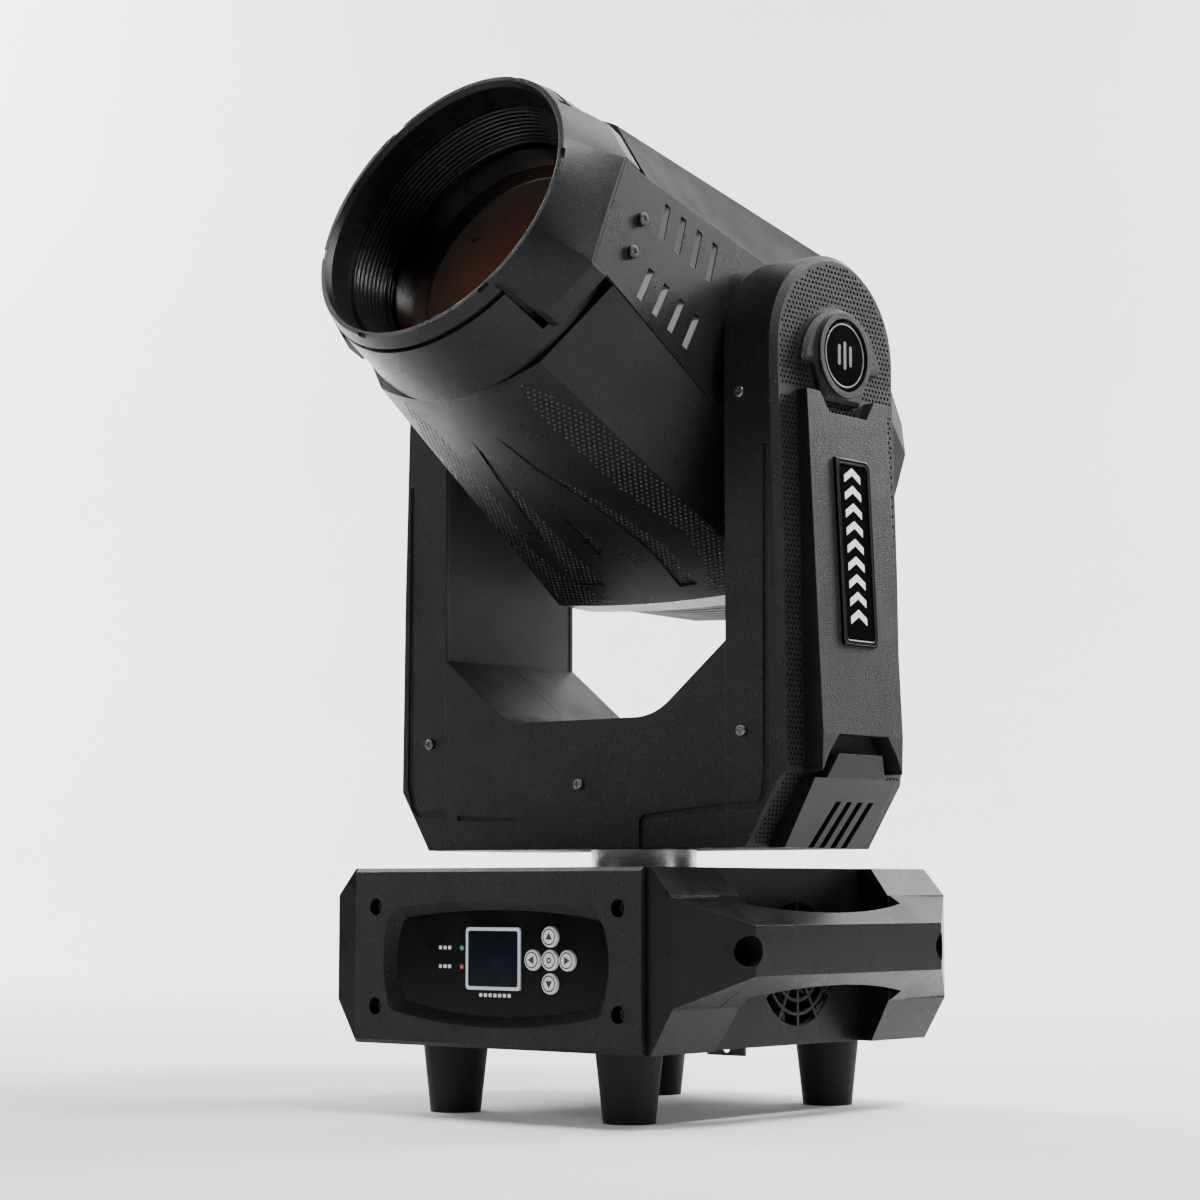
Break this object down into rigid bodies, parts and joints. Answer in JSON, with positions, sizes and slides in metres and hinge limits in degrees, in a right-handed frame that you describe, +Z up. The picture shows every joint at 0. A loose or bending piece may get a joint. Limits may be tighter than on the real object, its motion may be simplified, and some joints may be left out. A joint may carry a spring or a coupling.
{
  "type": "moving head light",
  "caption": "Moving head stage light: a base with side grips and a control panel carries a panning yoke and a tilting beam head.",
  "frame": {"origin": "on the pan axis, at the centre of the bracket fastener pattern on the underside of the base", "axes": "+Z up along the pan axis, -Y out of the control panel, +X along the tilt axis towards the arm that holds the tilt motor"},
  "size_m": [0.356, 0.4393, 0.6529],
  "materials": {
    "textured_plastic": "fine sparkle grain",
    "satin_plastic": "smooth satin",
    "gloss_black": "gloss",
    "black_metal": "powder coat",
    "head_metal": "sheet aluminium",
    "turned_steel": "turned",
    "pulley_metal": "machined",
    "screw_steel": "blackened",
    "foot_rubber": "matte",
    "belt_rubber": "matte",
    "lens_glass": "coated",
    "baffle_black": "matte",
    "carriage": "anodised",
    "colour_glass": "dichroic",
    "gobo_metal": "sheet",
    "lamp_metal": "bright",
    "fan_plastic": "moulded",
    "motor_metal": "satin",
    "board": "solder mask",
    "display": "white frame",
    "led_lens": "clear",
    "button_grey": "satin",
    "socket_plastic": "moulded"
  },
  "bodies": {
    "base": {"base_chassis": "black_metal", "base_front_panel": "textured_plastic", "base_rear_panel": "textured_plastic", "base_handle_right": "satin_plastic", "base_handle_left": "satin_plastic", "base_top_plate": "black_metal", "base_bottom_plate": "black_metal", "rubber_feet": "foot_rubber", "base_screws": "screw_steel", "control_bezel": "gloss_black", "lcd_display": "display", "control_board": "board", "status_leds": "led_lens", "power_supply": "black_metal", "base_fan_frame": "fan_plastic", "pan_spindle": "turned_steel", "pan_pulley": "pulley_metal", "power_inlet": "socket_plastic", "signal_sockets": "socket_plastic", "safety_eye": "black_metal"},
    "yoke": {"yoke_frame": "black_metal", "yoke_front_cover": "textured_plastic", "yoke_rear_cover": "textured_plastic", "arm_shell_right": "textured_plastic", "arm_shell_left": "textured_plastic", "arm_medallions": "gloss_black", "arm_label_plates": "gloss_black", "arm_vent_covers": "satin_plastic", "yoke_screws": "screw_steel", "bearings": "turned_steel", "pan_motor": "motor_metal", "pan_belt": "belt_rubber", "tilt_motor": "motor_metal", "tilt_belt": "belt_rubber"},
    "head": {"head_frame": "head_metal", "head_cover_upper": "satin_plastic", "head_cover_lower": "satin_plastic", "head_side_plates": "textured_plastic", "front_bezel": "textured_plastic", "lens_baffle": "baffle_black", "front_lens": "lens_glass", "head_rear_cover": "satin_plastic", "tilt_axles": "turned_steel", "tilt_pulley": "pulley_metal", "lamp_unit": "lamp_metal", "head_fan_frame": "fan_plastic", "focus_rods": "turned_steel", "head_screws": "screw_steel"},
    "base_fan_rotor": {"base_fan_rotor": "fan_plastic"},
    "pan_motor_pulley": {"pan_motor_pulley": "pulley_metal"},
    "tilt_motor_pulley": {"tilt_motor_pulley": "pulley_metal"},
    "head_fan_rotor": {"head_fan_rotor": "fan_plastic"},
    "focus_carriage": {"focus_carriage": "carriage"},
    "colour_wheel": {"colour_wheel": "colour_glass"},
    "gobo_wheel": {"gobo_wheel": "gobo_metal"},
    "button_up": {"button_up": "button_grey"},
    "button_left": {"button_left": "button_grey"},
    "button_ok": {"button_ok": "button_grey"},
    "button_right": {"button_right": "button_grey"},
    "button_down": {"button_down": "button_grey"}
  },
  "joints": [
    {"name": "pan", "type": "hinge", "parent": "base", "child": "yoke", "pos_m": [0, 0, 0.1296], "axis": [0, 0, 1], "range_deg": [-270, 270]},
    {"name": "tilt", "type": "hinge", "parent": "yoke", "child": "head", "pos_m": [0, 0, 0.4336], "axis": [1, 0, 0], "range_deg": [-201, 68]},
    {"name": "pan_pulley_spin", "type": "hinge", "parent": "yoke", "child": "pan_motor_pulley", "pos_m": [0.082, 0, 0.1505], "axis": [0, 0, 1], "range_deg": [-1085, 1085]},
    {"name": "tilt_pulley_spin", "type": "hinge", "parent": "yoke", "child": "tilt_motor_pulley", "pos_m": [0.1305, 0, 0.318], "axis": [1, 0, 0], "range_deg": [-810, 280]},
    {"name": "base_fan_spin", "type": "hinge", "parent": "base", "child": "base_fan_rotor", "pos_m": [0.0947, 0.018, 0.0508], "axis": [1, 0, 0], "continuous": true},
    {"name": "head_fan_spin", "type": "hinge", "parent": "head", "child": "head_fan_rotor", "pos_m": [0, 0.1431, 0.37049], "axis": [0, -0.915, 0.4035], "continuous": true},
    {"name": "colour_spin", "type": "hinge", "parent": "head", "child": "colour_wheel", "pos_m": [0, 0.02863, 0.47125], "axis": [0, -0.915, 0.4035], "continuous": true},
    {"name": "gobo_spin", "type": "hinge", "parent": "head", "child": "gobo_wheel", "pos_m": [0, -0.02314, 0.39353], "axis": [0, -0.915, 0.4035], "continuous": true},
    {"name": "focus_slide", "type": "slide", "parent": "head", "child": "focus_carriage", "axis": [0, -0.915, 0.4035], "range_m": [-0.03, 0.03]},
    {"name": "press_up", "type": "slide", "parent": "base", "child": "button_up", "axis": [0, 1, 0], "range_m": [0, 0.001], "stiffness_N_per_m": 600, "springref_m": -0.0005},
    {"name": "press_left", "type": "slide", "parent": "base", "child": "button_left", "axis": [0, 1, 0], "range_m": [0, 0.001], "stiffness_N_per_m": 600, "springref_m": -0.0005},
    {"name": "press_ok", "type": "slide", "parent": "base", "child": "button_ok", "axis": [0, 1, 0], "range_m": [0, 0.001], "stiffness_N_per_m": 600, "springref_m": -0.0005},
    {"name": "press_right", "type": "slide", "parent": "base", "child": "button_right", "axis": [0, 1, 0], "range_m": [0, 0.001], "stiffness_N_per_m": 600, "springref_m": -0.0005},
    {"name": "press_down", "type": "slide", "parent": "base", "child": "button_down", "axis": [0, 1, 0], "range_m": [0, 0.001], "stiffness_N_per_m": 600, "springref_m": -0.0005}
  ],
  "couplings": [
    {"joint": "pan_pulley_spin", "follows": "pan", "ratio": -4},
    {"joint": "tilt_pulley_spin", "follows": "tilt", "ratio": 4}
  ]
}
